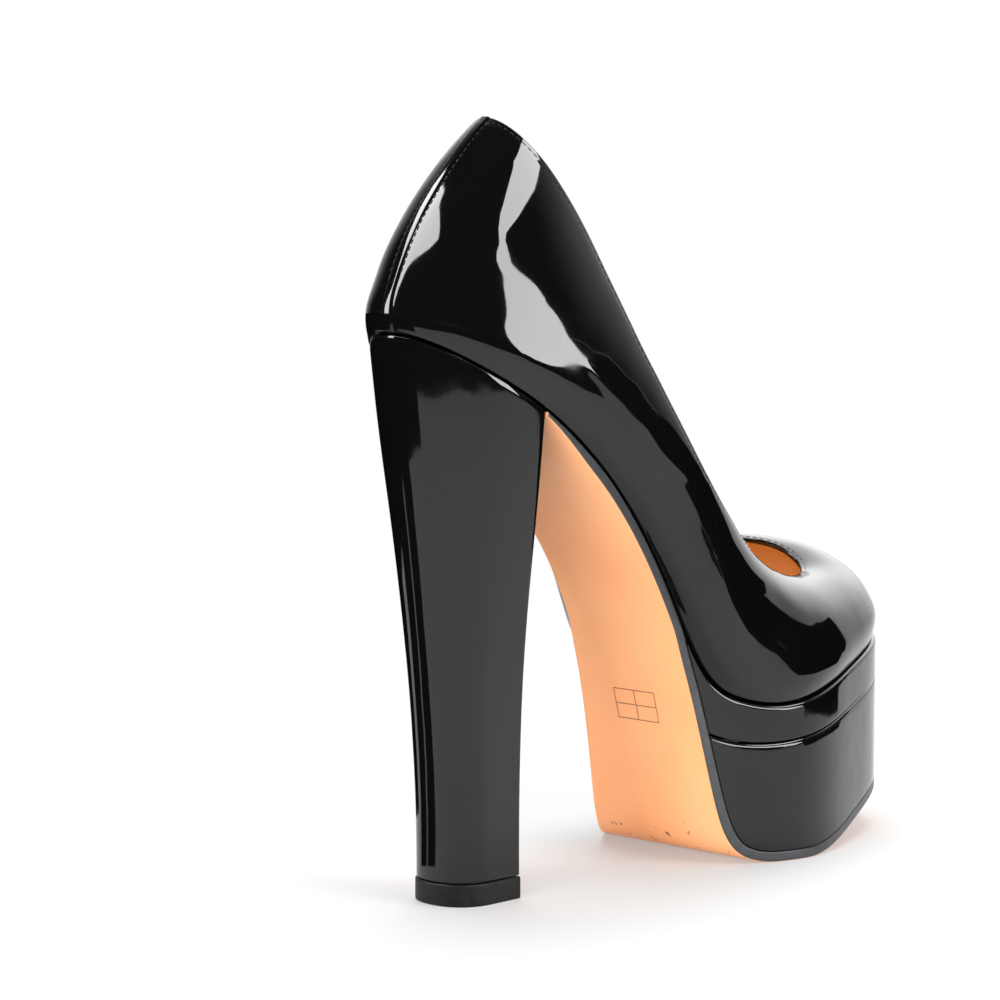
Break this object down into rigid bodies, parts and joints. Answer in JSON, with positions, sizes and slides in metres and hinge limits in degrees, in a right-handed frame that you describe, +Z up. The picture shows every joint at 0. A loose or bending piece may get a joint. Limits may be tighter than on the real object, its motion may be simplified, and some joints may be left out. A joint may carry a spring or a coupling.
{
  "type": "platform shoe",
  "caption": "Right platform pump in black patent: hollow closed-toe upper, insole, stacked wrapped platform, leather outsole and tall flared block heel with a rubber lift.",
  "frame": {"origin": "on the floor under the middle of the shoe's box", "axes": "+X to the toe, +Y to the inner side of the foot, +Z up; the shoe stands on its forefoot and heel"},
  "size_m": [0.2118, 0.0814, 0.2219],
  "materials": {
    "patent": "black patent leather, mirror gloss",
    "insole_leather": "smooth tan lining leather, satin",
    "sole_leather": "natural tan sole leather, lightly polished, edge painted dark grey",
    "rubber": "matt dark rubber"
  },
  "bodies": {
    "root": {"upper": "patent", "insole": "insole_leather", "platform_upper_tier": "patent", "platform_lower_tier": "patent", "outsole": "sole_leather", "heel": "patent", "top_lift": "rubber"}
  },
  "joints": []
}
